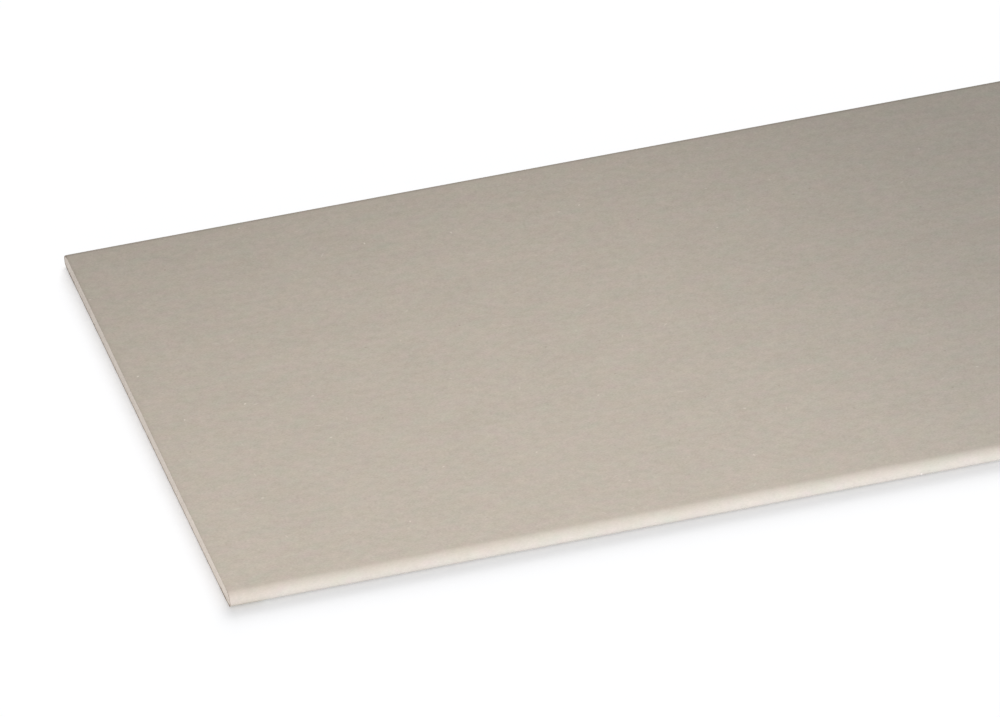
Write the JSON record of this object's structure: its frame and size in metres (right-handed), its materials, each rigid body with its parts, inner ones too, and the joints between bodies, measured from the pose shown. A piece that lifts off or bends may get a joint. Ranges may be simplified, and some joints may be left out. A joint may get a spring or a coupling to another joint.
{
  "type": "gypsum ceiling board",
  "caption": "Flat gypsum ceiling board with a paper-lined gypsum core, rounded long edges and square cut ends, lying face up.",
  "frame": {"origin": "middle of the back paper's underside, where the board lies on the floor or against the joists", "axes": "+X along the long rounded edges, +Y across the board, +Z out of the face"},
  "size_m": [2, 0.4, 0.0095],
  "materials": {
    "gypsum": "matte cut gypsum, off-white, finely porous",
    "face_paper": "matte grey-beige recycled liner paper with fine fibres",
    "back_paper": "matte brown-grey recycled liner paper"
  },
  "bodies": {
    "root": {"gypsum_core": "gypsum", "face_paper": "face_paper", "back_paper": "back_paper"}
  },
  "joints": []
}
